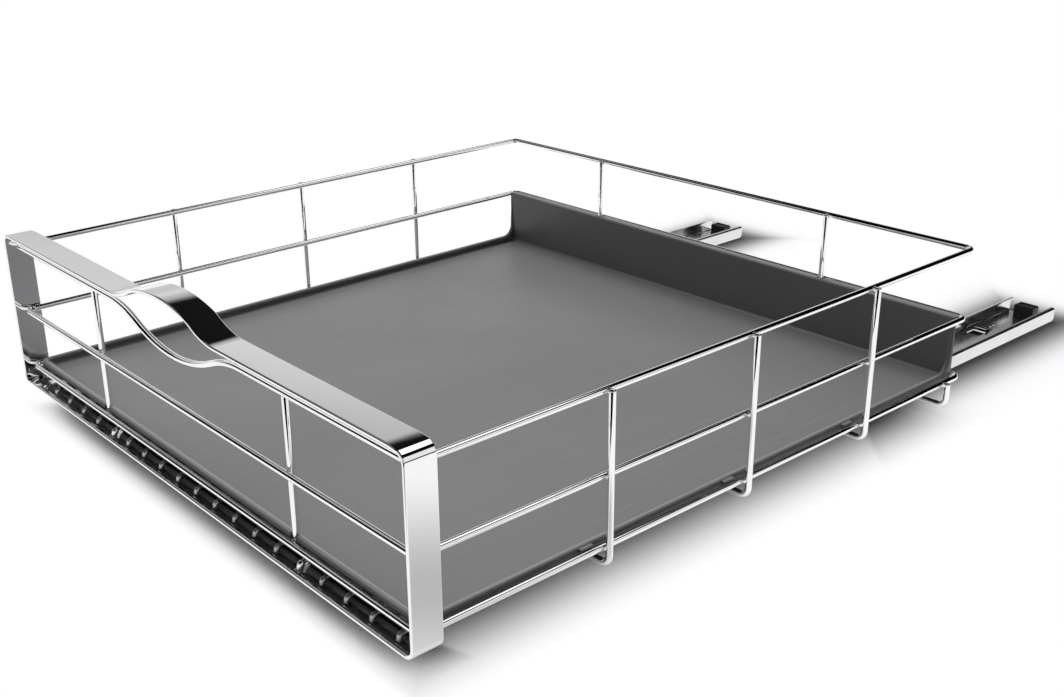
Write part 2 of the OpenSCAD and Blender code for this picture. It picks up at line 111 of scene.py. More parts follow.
def pick(piece, kind, test):
    # selects what passes the test by its middle, in edit mode
    bpy.ops.mesh.select_mode(type=kind)
    bpy.ops.mesh.select_all(action="DESELECT")
    mesh = bmesh.from_edit_mesh(piece.data)
    for thing in {"VERT": mesh.verts, "EDGE": mesh.edges, "FACE": mesh.faces}[kind]:
        if kind == "VERT":
            middle = thing.co
        else:
            middle = sum((v.co for v in thing.verts), Vector()) / len(thing.verts)
        if test(middle, thing):
            thing.select_set(True)
    bmesh.update_edit_mesh(piece.data)


def roundOff(offset, segments, affect="EDGES"):
    bpy.ops.mesh.bevel(offset=offset * mm, segments=segments, profile=0.5, affect=affect)


def roundEdges(piece, offset, segments, test):
    edit(piece)
    pick(piece, "EDGE", test)
    roundOff(offset, segments)
    done()


def extrude(move):
    bpy.ops.mesh.extrude_region_move(TRANSFORM_OT_translate={"value": move})


def pullEdges(x, y, z):
    bpy.ops.mesh.extrude_edges_move(TRANSFORM_OT_translate={"value": inCabinet(x, y, z)})


def stretch(factors, centre=(0, 0, 0)):
    bpy.ops.transform.resize(value=factors, center_override=centre)


def applyModifier(piece, kind, **values):
    makeActive(piece)
    modifier = piece.modifiers.new(kind.lower(), kind)
    for key, value in values.items():
        setattr(modifier, key, value)
    bpy.ops.object.modifier_apply(modifier=modifier.name)


def cutAway(piece, cutter, way="DIFFERENCE"):
    applyModifier(piece, "BOOLEAN", operation=way, object=cutter, solver="EXACT")
    bpy.data.objects.remove(cutter)


def joinInto(piece, others):
    makeActive(piece)
    for other in others:
        other.select_set(True)
    bpy.ops.object.join()
    return piece


def cleanUp(piece, merge=0.01):
    edit(piece, "VERT")
    bpy.ops.mesh.remove_doubles(threshold=merge * mm)
    bpy.ops.mesh.normals_make_consistent(inside=False)
    done()


def smooth(piece, angle=40):
    makeActive(piece)
    bpy.ops.object.shade_smooth_by_angle(angle=math.radians(angle))


def evenNormals(piece):
    # flat faces stay flat and only the rounded edges turn
    makeActive(piece)
    bpy.ops.object.shade_smooth()
    applyModifier(piece, "WEIGHTED_NORMAL", keep_sharp=False, weight=80)


def finishEdges(piece, width, segments=2, angle=50):
    # rounds the edges that are sharper than the angle
    sharp = {"limit_method": "ANGLE", "angle_limit": math.radians(angle)}
    applyModifier(piece, "BEVEL", width=width * mm, segments=segments, **sharp)
    cleanUp(piece, 0.001)
    evenNormals(piece)


def thicken(piece, thickness, facing, test, offset=-1, even=True):
    # the sheet is turned over first if the face that passes the test looks the other way
    face = next(face for face in piece.data.polygons if test(face.center))
    if face.normal.z * facing < 0:
        edit(piece, "FACE")
        bpy.ops.mesh.flip_normals()
        done()
    applyModifier(piece, "SOLIDIFY", thickness=thickness * mm, offset=offset, use_even_offset=even)
    cleanUp(piece)


def copyOf(piece, name, place=(0, 0, 0), turn=(0, 0, 0), side=1):
    # a copy with its place put into its mesh; side -1 gives the mirror image
    twin = piece.copy()
    twin.data = piece.data.copy()
    twin.name = name
    twin.data.name = name
    bpy.context.scene.collection.objects.link(twin)
    twin.location = place
    twin.rotation_euler = turn
    twin.scale.x = side
    makeActive(twin)
    applyPlace()
    return twin


def addCube(name, low, high):
    bpy.ops.mesh.primitive_cube_add(size=1, location=(low + high) / 2, scale=high - low)
    return settle(name)


def addRod(name, middle, radius, long, sides=24, along=(0, 0, 1)):
    turn = Vector(along).to_track_quat("Z", "Y").to_euler()
    bpy.ops.mesh.primitive_cylinder_add(
        vertices=sides, radius=radius * mm, depth=long * mm, location=inCabinet(*middle), rotation=turn)
    return settle(name)


def addSheet(name, middle, wide, long):
    bpy.ops.mesh.primitive_plane_add(size=1, location=inCabinet(*middle))
    bpy.context.object.scale = (wide * mm, long * mm, 1)
    return settle(name)


def drill(piece, middle, radius, sides=24, long=6, along=(0, 0, 1)):
    cutAway(piece, addRod("drill", middle, radius, long, sides, along))


def dress(piece, finish, body, node):
    piece.data.materials.clear()
    piece.data.materials.append(finishes[finish])
    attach(piece, body)
    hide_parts(node)


def dressBothSides(piece, finish, body, node):
    # the piece is the right-hand one, and its mirror image goes on the left
    other = copyOf(piece, piece.name.replace("Right", "Left"), side=-1)
    cleanUp(other)
    evenNormals(other)
    dress(piece, finish, body, node + "_right")
    dress(other, finish, body.replace("right", "left"), node + "_left")


# camera

photoCamera = {
    "place": (0.71311, -0.70938, 0.41948), "down": 21.782, "roll": -1.232, "turn": 50.462,
    "lens": 44.148, "sensor": 36, "shiftX": 0.0483, "shiftY": 0.0018, "farEnd": 60,
}


def setCamera():
    down, roll, turn = (math.radians(photoCamera[key]) for key in ("down", "roll", "turn"))
    data = bpy.data.cameras.new("photoCamera")
    data.sensor_width = photoCamera["sensor"]
    data.sensor_fit = "HORIZONTAL"
    data.lens = photoCamera["lens"]
    data.shift_x = photoCamera["shiftX"]
    data.shift_y = photoCamera["shiftY"]
    data.clip_end = photoCamera["farEnd"]
    camera = bpy.data.objects.new("photoCamera", data)
    turns = ((turn, "Z"), (math.pi / 2 - down, "X"), (roll, "Z"))
    camera.matrix_world = Matrix.Translation(photoCamera["place"])
    for angle, axis in turns:
        camera.matrix_world = camera.matrix_world @ Matrix.Rotation(angle, 4, axis)
    bpy.context.scene.collection.objects.link(camera)
    bpy.context.scene.camera = camera


setCamera()
print("camera set")


# nodes that the stage and the finishes share

def feed(tree, socket, value):
    # an output is linked to the socket, and a number or colour is set on it
    if isinstance(value, bpy.types.NodeSocket):
        tree.links.new(value, socket)
    else:
        socket.default_value = value


def addNode(tree, kind, inputs=None, **values):
    node = tree.nodes.new("ShaderNode" + kind)
    for key, value in values.items():
        setattr(node, key, value)
    for key, value in (inputs or {}).items():
        feed(tree, node.inputs[key], value)
    return node


def sums(tree, operation, *values):
    # a Math node, or several one after the other where it has only two inputs
    while len(values) > 2 and operation != "MULTIPLY_ADD":
        values = (sums(tree, operation, *values[:2]), *values[2:])
    return addNode(tree, "Math", dict(enumerate(values)), operation=operation).outputs[0]


def times(tree, *values):
    return sums(tree, "MULTIPLY", *values)


def slope(tree, value, low, high, down=False):
    # smooth step from 0 to 1 between two values, or from 1 to 0
    inputs = {"Value": value, "From Min": low, "From Max": high, "To Min": int(down), "To Max": int(not down)}
    return addNode(tree, "MapRange", inputs, interpolation_type="SMOOTHSTEP").outputs["Result"]


def patch(tree, value, middle, half, soft):
    away = sums(tree, "ABSOLUTE", sums(tree, "SUBTRACT", value, middle))
    return slope(tree, away, half - soft, half + soft, down=True)


def spread(tree, value, low, high, start=0, end=1):
    inputs = {"Value": value, "From Min": low, "From Max": high, "To Min": start, "To Max": end}
    return addNode(tree, "MapRange", inputs).outputs["Result"]


def split(tree, vector):
    return addNode(tree, "SeparateXYZ", {0: vector}).outputs


def combine(tree, operation, first, second):
    # a Vector Math node on a vector and a vector or number
    inputs = {0: first, "Scale" if operation == "SCALE" else 1: second}
    return addNode(tree, "VectorMath", inputs, operation=operation).outputs


def mixColours(tree, share, first, second):
    return addNode(tree, "Mix", {"Factor": share, 6: first, 7: second}, data_type="RGBA").outputs[2]


def mixShaders(tree, share, first, second):
    return addNode(tree, "MixShader", {0: share, 1: first, 2: second}).outputs[0]


def greyRamp(tree, value, steps):
    ramp = addNode(tree, "ValToRGB", {"Fac": value})
    while len(ramp.color_ramp.elements) < len(steps):
        ramp.color_ramp.elements.new(0.5)
    for element, (at, grey) in zip(ramp.color_ramp.elements, steps):
        element.position = at
        element.color = (grey, grey, grey, 1)
    return ramp.outputs["Color"]


def startMaterial(name, **constants):
    material = bpy.data.materials.new(name)
    material.use_nodes = True
    tree = material.node_tree
    shader = tree.nodes["Principled BSDF"]
    for title, value in constants.items():
        shader.inputs[title.replace("_", " ")].default_value = value
    where = addNode(tree, "TexCoord").outputs["Object"]
    return material, tree, shader, where


# light and stage

studio = {
    "fill": 1.03, "fillFrom": (-0.42, 0.48, 0.77), "fillSpread": (0.15, 1.0),
    "lamp": {"place": (-1.15, 0.35, 3.1), "aim": (0, -0.05, 0), "size": (2.2, 1.8), "watts": 60},
    "floorColour": (0.94, 0.94, 0.943, 1), "floorSize": 24, "floorDull": 0.7, "floorShine": 0.2,
    "bounce": 0.2,
    # painted shade: the floor is near black under the rails, so that their holes look shadowed inside
    "railHoleShade": (0.01, 0.01, 0.01, 1), "railHoleShadeEdge": (-0.004, -0.0015),
    # how far outside the basket's and the slides' edges the floor's shadow has faded away
    "frontRoom": (-0.019, 0.007), "sideRoom": (-0.055, 0.02), "slideRoom": (0.01, 0.078), "behind": 0.012,
    "slideShade": (0, 0.055, 0.12), "slideFrom": 0.09,
    # shade where the front covers the floor: its reach, where it starts and ends, and how far back it goes
    "contact": (0.12, 0.15, 0.6), "contactEnd": (-0.345, -0.325), "contactSamples": 16,
    # dark end of the table and a grey flag, which only metal sees
    "tableEdge": (0.846, -0.533, 0.5, 0.53), "tableBack": (-0.6, -0.5), "tableLeft": (0.268, 0.28),
    "greyFlag": (0.335, -0.309, 0.16, 0.48),
    # grey of the pale backdrop that metal sees, by degrees above the floor
    "backdrop": [(0, 1.0), (2.5, 0.9), (6, 0.6), (15, 0.6), (20.5, 0.72), (25, 0.52), (28, 0.42),
                 (30.5, 0.17), (33, 0.005), (90, 0.002)],
    "backdropTurn": 126, "backdropWide": (33, 41, 8), "horizon": (-2, 0), "zenith": 90,
    # grey, middle and half width across, middle and half height, softness, all in degrees
    "softBoxes": [(1.4, -42, 31, 55.5, 5.5, 1.2), (0.85, -89, 13, 19.75, 13.25, 1.2),
                  (0.35, 74, 14, 40, 7, 2), (0.6, 148, 36, 19, 15, 3), (0.6, -150, 36, 19, 15, 3)],
}


def setLamp():
    look = studio["lamp"]
    data = bpy.data.lights.new("topLamp", "AREA")
    data.shape = "RECTANGLE"
    data.size, data.size_y = look["size"]
    data.energy = look["watts"]
    lamp = bpy.data.objects.new("topLamp", data)
    lamp.location = look["place"]
    lamp.rotation_euler = (Vector(look["aim"]) - Vector(look["place"])).to_track_quat("-Z", "Y").to_euler()
    lamp.visible_glossy = False
    bpy.context.scene.collection.objects.link(lamp)


def setWorld():
    # soft fill from above and behind; metal sees a pale backdrop, soft boxes and a dark room
    world = bpy.data.worlds.new("studioWorld")
    bpy.context.scene.world = world
    world.use_nodes = True
    tree = world.node_tree
    tree.nodes.clear()
    ray = addNode(tree, "LightPath").outputs
    where = addNode(tree, "TexCoord").outputs["Generated"]
    turn = {"Vector": where, "Angle": -math.radians(studio["backdropTurn"])}
    x, y, z = split(tree, addNode(tree, "VectorRotate", turn, rotation_type="Z_AXIS").outputs[0])
    across = sums(tree, "DEGREES", sums(tree, "ARCTAN2", y, x))
    above = sums(tree, "DEGREES", sums(tree, "ARCSINE", z))
    top = studio["zenith"]
    steps = [(degrees / top, grey) for degrees, grey in studio["backdrop"]]
    pale = greyRamp(tree, sums(tree, "DIVIDE", above, top), steps)
    light = times(tree, pale, patch(tree, across, *studio["backdropWide"]))
    light = sums(tree, "MAXIMUM", light, slope(tree, above, *studio["horizon"], down=True))
    for grey, middle, half, height, tall, soft in studio["softBoxes"]:
        wide, high = patch(tree, across, middle, half, soft), patch(tree, above, height, tall, soft)
        light = sums(tree, "MAXIMUM", light, times(tree, wide, high, grey))
    backdrop = addNode(tree, "Background", {"Color": light})
    lean = combine(tree, "DOT_PRODUCT", where, studio["fillFrom"])["Value"]
    soft = {"Color": slope(tree, lean, *studio["fillSpread"]), "Strength": studio["fill"]}
    fill = addNode(tree, "Background", soft)
    white = addNode(tree, "Background", {"Color": (1, 1, 1, 1)})
    light = mixShaders(tree, ray["Is Glossy Ray"], fill.outputs[0], backdrop.outputs[0])
    seen = sums(tree, "MAXIMUM", ray["Is Camera Ray"], ray["Is Transmission Ray"])
    light = mixShaders(tree, seen, light, white.outputs[0])
    addNode(tree, "OutputWorld", {"Surface": light})


def awayFromBox(tree, parts, low, high):
    # how far outside a footprint a point of the floor lies, less than nothing inside it
    gaps = []
    for part, least, most in zip(parts, low, high):
        middle = sums(tree, "SUBTRACT", part, (least + most) / 2)
        gaps.append(sums(tree, "SUBTRACT", sums(tree, "ABSOLUTE", middle), (most - least) / 2))
    return sums(tree, "MAXIMUM", *gaps)


def setFloor():
    bpy.ops.mesh.primitive_plane_add(size=studio["floorSize"], location=(0, 0, 0))
    floor = settle("studioFloor")
    material, tree, shader, where = startMaterial(
        "studioFloor", Roughness=studio["floorDull"], Specular_IOR_Level=studio["floorShine"])
    x, y = split(tree, where)[:2]
    ray = addNode(tree, "LightPath").outputs
    metal = ray["Is Glossy Ray"]
    frameLow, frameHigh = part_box("front_frame")
    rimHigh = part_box("top_rim")[1]
    railLow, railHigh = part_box("channel_right")
    basket = awayFromBox(tree, (x, y), frameLow.xy, (frameHigh.x, rimHigh.y + studio["behind"]))
    ahead = sums(tree, "SUBTRACT", frameLow.y, y)
    outward = sums(tree, "ABSOLUTE", x)
    rails = awayFromBox(tree, (outward, y), railLow.xy, railHigh.xy)
    behind = awayFromBox(tree, (outward, y), (railLow.x, studio["slideFrom"]), railHigh.xy)

    # painted contact shade: close under the front the floor's colour darkens as far as it is covered
    reachOut, coverLow, coverHigh = studio["contact"]
    cover = addNode(tree, "AmbientOcclusion", {"Distance": reachOut}, samples=studio["contactSamples"])
    opened = slope(tree, cover.outputs["AO"], coverLow, coverHigh)
    contact = sums(tree, "MAXIMUM", opened, slope(tree, y, *studio["contactEnd"]))

    # the floor's colour, with painted shade: near black under the rails, darker beside the slides and close
    # under the front, and darker in the light that it throws back
    shadeFrom, shadeTo, shadeLow = studio["slideShade"]
    colour = mixColours(tree, slope(tree, rails, *studio["railHoleShadeEdge"]), studio["railHoleShade"], studio["floorColour"])
    shade = sums(tree, "MULTIPLY_ADD", slope(tree, behind, shadeFrom, shadeTo), 1 - shadeLow, shadeLow)
    thrown = times(tree, ray["Is Diffuse Ray"], 1 - studio["bounce"])
    share = times(tree, shade, contact, sums(tree, "SUBTRACT", 1, thrown))
    feed(tree, shader.inputs["Base Color"], combine(tree, "SCALE", colour, share)[0])

    # round the object the floor keeps its shadow, and further off it fades into the white backdrop
    inFront = slope(tree, ahead, *studio["frontRoom"])
    beside = sums(tree, "MAXIMUM", slope(tree, basket, *studio["sideRoom"]), inFront)
    room = sums(tree, "MAXIMUM", metal, slope(tree, behind, *studio["slideRoom"]))
    seen = sums(tree, "MAXIMUM", ray["Is Camera Ray"], metal, ray["Is Transmission Ray"])
    faded = times(tree, sums(tree, "MINIMUM", beside, contact, room), seen)

    # metal sees the table's dark end and a grey flag
    acrossX, acrossY, edgeFrom, edgeTo = studio["tableEdge"]
    past = sums(tree, "MULTIPLY_ADD", x, acrossX, times(tree, y, acrossY))
    dark = times(tree, slope(tree, past, edgeFrom, edgeTo),
                slope(tree, y, *studio["tableBack"], down=True), slope(tree, x, *studio["tableLeft"]), metal)
    flagX, flagY, flagWide, flagGrey = studio["greyFlag"]
    reach = combine(tree, "DISTANCE", where, (flagX, flagY, 0))["Value"]
    flag = times(tree, slope(tree, reach, 0, flagWide, down=True), flagGrey, metal)
    left = times(tree, sums(tree, "SUBTRACT", 1, dark), sums(tree, "SUBTRACT", 1, flag))
    white = addNode(tree, "Emission", {"Strength": left})
    mix = mixShaders(tree, sums(tree, "MAXIMUM", faded, dark), shader.outputs[0], white.outputs[0])
    feed(tree, tree.nodes["Material Output"].inputs["Surface"], mix)
    floor.data.materials.append(material)


bpy.context.scene.view_settings.view_transform = "Standard"
setLamp()
setWorld()
setFloor()
print("studio ready")


# effects that several finishes share

def newGroup(name, inputs, outputs):
    # every group takes a place, and then numbers and colours with their usual values
    group = bpy.data.node_groups.new(name, "ShaderNodeTree")
    group.interface.new_socket(name="Vector", in_out="INPUT", socket_type="NodeSocketVector")
    for title, value in inputs.items():
        kind = "NodeSocketColor" if isinstance(value, tuple) else "NodeSocketFloat"
        group.interface.new_socket(name=title, in_out="INPUT", socket_type=kind).default_value = value
    for title in outputs:
        kind = "NodeSocketColor" if title == "Colour" else "NodeSocketFloat"
        group.interface.new_socket(name=title, in_out="OUTPUT", socket_type=kind)
    return group, group.nodes.new("NodeGroupInput").outputs, group.nodes.new("NodeGroupOutput").inputs


def noise(tree, where, scale, **values):
    return addNode(tree, "TexNoise", {"Vector": where, "Scale": scale, **values}).outputs["Fac"]


def makeHandlingMarks():
    # slow cloudy changes of shine, with a few smears
    inputs = {"Scale": 20.0, "Low": 0.05, "High": 0.1}
    group, given, result = newGroup("handlingMarks", inputs, ("Roughness", "Mask"))
    mask = spread(group, noise(group, given["Vector"], given["Scale"], Detail=4, Roughness=0.6), 0.32, 0.68)
    feed(group, result["Roughness"], spread(group, mask, 0, 1, given["Low"], given["High"]))
    feed(group, result["Mask"], mask)
    return group


def makeRolledGrain():
    # fine lines along the slides, as cold-rolled sheet has
    group, given, result = newGroup("rolledGrain", {"Across": 900.0, "Along": 9.0}, ("Height",))
    sizes = {"X": given["Across"], "Y": given["Along"], "Z": given["Across"]}
    size = addNode(group, "CombineXYZ", sizes).outputs[0]
    stretched = combine(group, "MULTIPLY", given["Vector"], size)[0]
    feed(group, result["Height"], noise(group, stretched, 1, Detail=3))
    return group


def makeFineGrain():
    # moulded or plated surface seen close up
    group, given, result = newGroup("fineGrain", {"Scale": 1500.0}, ("Height",))
    feed(group, result["Height"], noise(group, given["Vector"], given["Scale"], Detail=5, Roughness=0.65))
    return group


def makeColourDrift():
    # a colour that wanders between two tones
    inputs = {"Scale": 10.0, "First": (0.5, 0.5, 0.5, 1), "Second": (0.6, 0.6, 0.6, 1)}
    group, given, result = newGroup("colourDrift", inputs, ("Colour",))
    wide = spread(group, noise(group, given["Vector"], given["Scale"], Detail=3), 0.3, 0.7)
    feed(group, result["Colour"], mixColours(group, wide, given["First"], given["Second"]))
    return group


handlingMarks = makeHandlingMarks()
rolledGrain = makeRolledGrain()
fineGrain = makeFineGrain()
colourDrift = makeColourDrift()


def useGroup(tree, group, where, **values):
    node = addNode(tree, "Group", node_tree=group)
    for key, value in {"Vector": where, **values}.items():
        feed(tree, node.inputs[key], value)
    return node.outputs


def startFinish(name, look, **constants):
    # the shader with its drifting colour and its marks, and the place that they start from
    material, tree, shader, where = startMaterial(name, **constants)
    light, dark, toneScale = look["tone"]
    low, high, markScale = look["shine"]
    tone = useGroup(tree, colourDrift, where, Scale=toneScale, First=(*light, 1), Second=(*dark, 1))["Colour"]
    marks = useGroup(tree, handlingMarks, where, Scale=markScale, Low=low, High=high)
    feed(tree, shader.inputs["Base Color"], tone)
    feed(tree, shader.inputs["Roughness"], marks["Roughness"])
    return material, tree, shader, where, tone, marks


def addBump(tree, shader, height, strength, distance):
    bump = addNode(tree, "Bump", {"Height": height, "Strength": strength, "Distance": distance})
    feed(tree, shader.inputs["Normal"], bump.outputs["Normal"])


def grainedFinish(name, look, depth=0.03, **constants):
    material, tree, shader, where = startFinish(name, look, **constants)[:4]
    strength, scale = look["grain"]
    addBump(tree, shader, useGroup(tree, fineGrain, where, Scale=scale)["Height"], strength, depth * mm)
    return material


def chromeFinish(name, look):
    return grainedFinish(name, look, Metallic=1.0)


def rolledFinish(name, look, depth=0.04):
    material, tree, shader, where, _, marks = startFinish(name, look, Metallic=1.0)
    across, along, streak, strength = look["lines"]
    lines = useGroup(tree, rolledGrain, where, Across=across, Along=along)["Height"]
    feed(tree, shader.inputs["Roughness"], sums(tree, "MULTIPLY_ADD", lines, streak, marks["Roughness"]))
    addBump(tree, shader, lines, strength, depth * mm)
    return material


# in every look, tone holds two colours and a scale, and shine holds two values of roughness and a scale

linerLook = {
    "tone": ((0.225, 0.225, 0.23), (0.205, 0.205, 0.209), 6.0), "shine": (0.36, 0.46, 14.0),
    # strength, scale, share beside the lines, and depth
    "grain": (0.35, 2600.0, 0.5, 0.1),
    "line": (0.25, 0.25, 0.254, 1), "lineWidth": 0.9, "lineTop": (11.7, 11.9),
    # the near-black colour of the underside is painted shade
    "under": (0.012, 0.012, 0.012, 1), "shadedUnderTop": (9.9, 10.1),
    # the lighter colour of the lips' rims is a painted highlight; their shine is a lower roughness
    "rimHighlightColour": (0.31, 0.31, 0.316, 1), "rimShine": 0.14,
    "rimFrom": (16.9, 17.25), "rimTo": (18.1, 18.3), "rimBack": (492, 497),
}


def linerFinish():
    # matt grey sheet with faint lines where it lies on the floor wires
    look = linerLook
    material, tree, shader, where, tone, marks = startFinish("greyLiner", look, Metallic=0.0, IOR=1.5)
    x, y, z = split(tree, where)

    def levels(key, down=False):
        return slope(tree, z, *(inBasket(0, 0, level).z for level in look[key]), down)

    line = slope(tree, sums(tree, "PINGPONG", x, floorPitch / 2 * mm), 0, look["lineWidth"] * mm, down=True)
    ribs = times(tree, line, levels("lineTop", down=True))
    colour = mixColours(tree, times(tree, ribs, marks["Mask"]), tone, look["line"])
    # the rims of the lips are smoother, with lower roughness, and lighter in colour as a painted highlight
    rimEnd = slope(tree, y, *(inBasket(0, back, 0).y for back in look["rimBack"]), down=True)
    rim = times(tree, levels("rimFrom"), levels("rimTo", down=True), rimEnd)
    colour = mixColours(tree, rim, colour, look["rimHighlightColour"])
    # painted shade: the underside is near black, as dark as the shade beneath the liner
    colour = mixColours(tree, levels("shadedUnderTop", down=True), colour, look["under"])
    feed(tree, shader.inputs["Base Color"], colour)
    shares = {"Factor": rim, 2: marks["Roughness"], 3: look["rimShine"]}
    shine = addNode(tree, "Mix", shares, data_type="FLOAT")
    feed(tree, shader.inputs["Roughness"], shine.outputs[0])
    strength, scale, share, depth = look["grain"]
    grain = useGroup(tree, fineGrain, where, Scale=scale)["Height"]
    addBump(tree, shader, sums(tree, "MULTIPLY_ADD", grain, share, ribs), strength, depth * mm)
    return material


# grain is strength and scale, and lines are their scales across and along, their streaks and their strength
finishes = {
    "chrome_wire": chromeFinish("chromeWire", {
        "tone": ((0.95, 0.95, 0.955), (0.9, 0.905, 0.915), 15.0), "shine": (0.02, 0.06, 35.0),
        "grain": (0.08, 1800.0)}),
    # painted shade: the floor wires get a darker, duller copy of the wire chrome
    "chrome_floor": chromeFinish("chromeFloor", {
        "tone": ((0.62, 0.62, 0.625), (0.5, 0.505, 0.515), 15.0), "shine": (0.24, 0.34, 35.0),
        "grain": (0.1, 1800.0)}),
    "polished_strip": chromeFinish("polishedStrip", {
        "tone": ((0.94, 0.94, 0.945), (0.89, 0.895, 0.905), 9.0), "shine": (0.035, 0.08, 18.0),
        "grain": (0.1, 1400.0)}),
    "grey_liner": linerFinish(),
    "zinc_steel": rolledFinish("zincSteel", {
        "tone": ((0.82, 0.825, 0.835), (0.74, 0.745, 0.76), 25.0), "shine": (0.11, 0.17, 30.0),
        "lines": (1500.0, 12.0, 0.1, 0.1)}),
    "cage_steel": rolledFinish("cageSteel", {
        "tone": ((0.6, 0.605, 0.62), (0.5, 0.505, 0.52), 60.0), "shine": (0.3, 0.42, 60.0),
        "lines": (1800.0, 40.0, 0.1, 0.2)}),
    "ball_steel": chromeFinish("ballSteel", {
        "tone": ((0.86, 0.86, 0.87), (0.78, 0.785, 0.8), 80.0), "shine": (0.05, 0.14, 120.0),
        "grain": (0.1, 3000.0)}),
    "screw_steel": chromeFinish("screwSteel", {
        "tone": ((0.8, 0.8, 0.82), (0.66, 0.67, 0.69), 120.0), "shine": (0.16, 0.32, 150.0),
        "grain": (0.3, 2500.0)}),
    "black_plastic": grainedFinish("blackPlastic", {
        "tone": ((0.01, 0.01, 0.0105), (0.006, 0.006, 0.0065), 60.0), "shine": (0.34, 0.5, 90.0),
        "grain": (0.3, 2200.0)}, depth=0.1, Metallic=0.0, IOR=1.5),
}

nodeSlots = {part["node"]: part["material_slot"] for part in frame["record"]["subparts"]}
for name, part in frame["nodes"].items():
    part.data.materials.clear()
    part.data.materials.append(finishes[nodeSlots[name]])
print("finishes ready:", len(finishes), "and", len(nodeSlots), "nodes dressed")


# bent strip and wire: a section is drawn across the path's start and run along it

def pathMoves(corners, closed=False):
    # corners are (point, bend radius in millimetres); gives the straights and bends between them
    points = [Vector(point) for point, radius in corners]
    radii = [radius * mm for point, radius in corners]
    count = len(points)
    heads = [(points[(i + 1) % count] - points[i]).normalized() for i in range(count)]
    cuts = [0.0] * count
    for i in range(count):
        if radii[i] > 0:
            cuts[i] = radii[i] * math.tan(heads[i - 1].angle(heads[i]) / 2)
    moves = []
    for i in range(count if closed else count - 1):
        after = (i + 1) % count
        length = (points[after] - points[i]).length - cuts[i] - cuts[after]
        if length > 1e-7:
            moves.append(("go", heads[i] * length))
        if radii[after] > 0:
            axis = heads[i].cross(heads[after]).normalized()
            centre = points[after] - heads[i] * cuts[after] + axis.cross(heads[i]) * radii[after]
            moves.append(("turn", centre, axis, heads[i].angle(heads[after])))
    return moves


def runSection(moves, stepAngle):
    for move in moves:
        if move[0] == "go":
            extrude(move[1])
        else:
            centre, axis, angle = move[1:]
            steps = max(2, math.ceil(math.degrees(angle) / stepAngle))
            # spin counts the other way round
            bpy.ops.mesh.spin(steps=steps, angle=-angle, center=centre, axis=axis)


def drawWire(name, corners, radius, closed=False, sides=16, stepAngle=9, endRound=0.45):
    start = Vector(corners[0][0])
    first = (Vector(corners[1][0]) - start).normalized()
    bpy.ops.mesh.primitive_circle_add(
        vertices=sides, radius=radius * mm, location=start, rotation=first.to_track_quat("Z", "Y").to_euler(),
        fill_type="NOTHING" if closed else "NGON")
    piece = settle(name)
    edit(piece, "EDGE" if closed else "FACE")
    runSection(pathMoves(corners, closed), stepAngle)
    if not closed:
        pick(piece, "FACE", lambda middle, face: len(face.verts) == sides)
        roundOff(radius * endRound, 3)
    done()
    cleanUp(piece)
    smooth(piece)
    return piece


# welds: small swellings where two wires touch

weldShape = {"across": 2.1, "thick": 1.25}


def makeWeld():
    bpy.ops.mesh.primitive_ico_sphere_add(subdivisions=2, radius=1 * mm, location=(0, 0, 0))
    weld = settle("weldShape")
    edit(weld, "VERT")
    stretch((weldShape["across"], weldShape["across"], weldShape["thick"]))
    done()
    bpy.ops.object.shade_smooth()
    return weld


def weldTo(piece, places):
    # places are (middle of the weld, direction from one wire to the other)
    joinInto(piece, [copyOf(weld, "weld", middle, Vector(direction).to_track_quat("Z", "Y").to_euler())
                     for middle, direction in places])


weld = makeWeld()


# front frame: one closed loop of flat strip with the handle in its top run

frontStrip = {
    "width": 508, "height": 122, "deep": 21, "thick": 2.5, "edge": 0.95, "cornerBend": 8, "stepAngle": 2.5,
    "ease": (13, 1.3, 90), "toe": (55.953, 60), "shoulder": (37.349, 9.076, 40), "crown": (19.079, 130),
}


def makeFrontFrame():
    strip = frontStrip
    half, high, bend = strip["width"] / 2, strip["height"], strip["cornerBend"]
    middle = inBasket(0, strip["deep"] / 2, strip["thick"] / 2)
    bpy.ops.mesh.primitive_plane_add(size=1 * mm, location=middle, rotation=(0, math.radians(90), 0))
    piece = settle("frontFrame")
    edit(piece, "VERT")
    stretch((1, strip["deep"], strip["thick"]), middle)
    roundOff(strip["edge"], 3, "VERTICES")
    selectAll()
    bpy.ops.mesh.delete(type="ONLY_FACE")
    selectAll()
    toeX, toeBend = strip["toe"]
    shoulderX, shoulderUp, shoulderBend = strip["shoulder"]
    crownUp, crownBend = strip["crown"]
    easeIn, easeDown, easeBend = strip["ease"]
    right = [
        (half, 0, bend), (half, high - easeDown, bend), (half - easeIn, high, easeBend),
        (toeX, high, toeBend), (shoulderX, high + shoulderUp, shoulderBend)]
    left = [(-x, z, radius) for x, z, radius in reversed(right)]
    outline = [(0, 0, 0), *right, (0, high + crownUp, crownBend), *left]
    corners = [(inBasket(x, strip["deep"] / 2, z), radius) for x, z, radius in outline]
    runSection(pathMoves(corners, closed=True), strip["stepAngle"])
    done()
    cleanUp(piece, 0.08)
    evenNormals(piece)
    return piece


dress(makeFrontFrame(), "polished_strip", "basket", "front_frame")
print("front frame made")


# wires of the basket

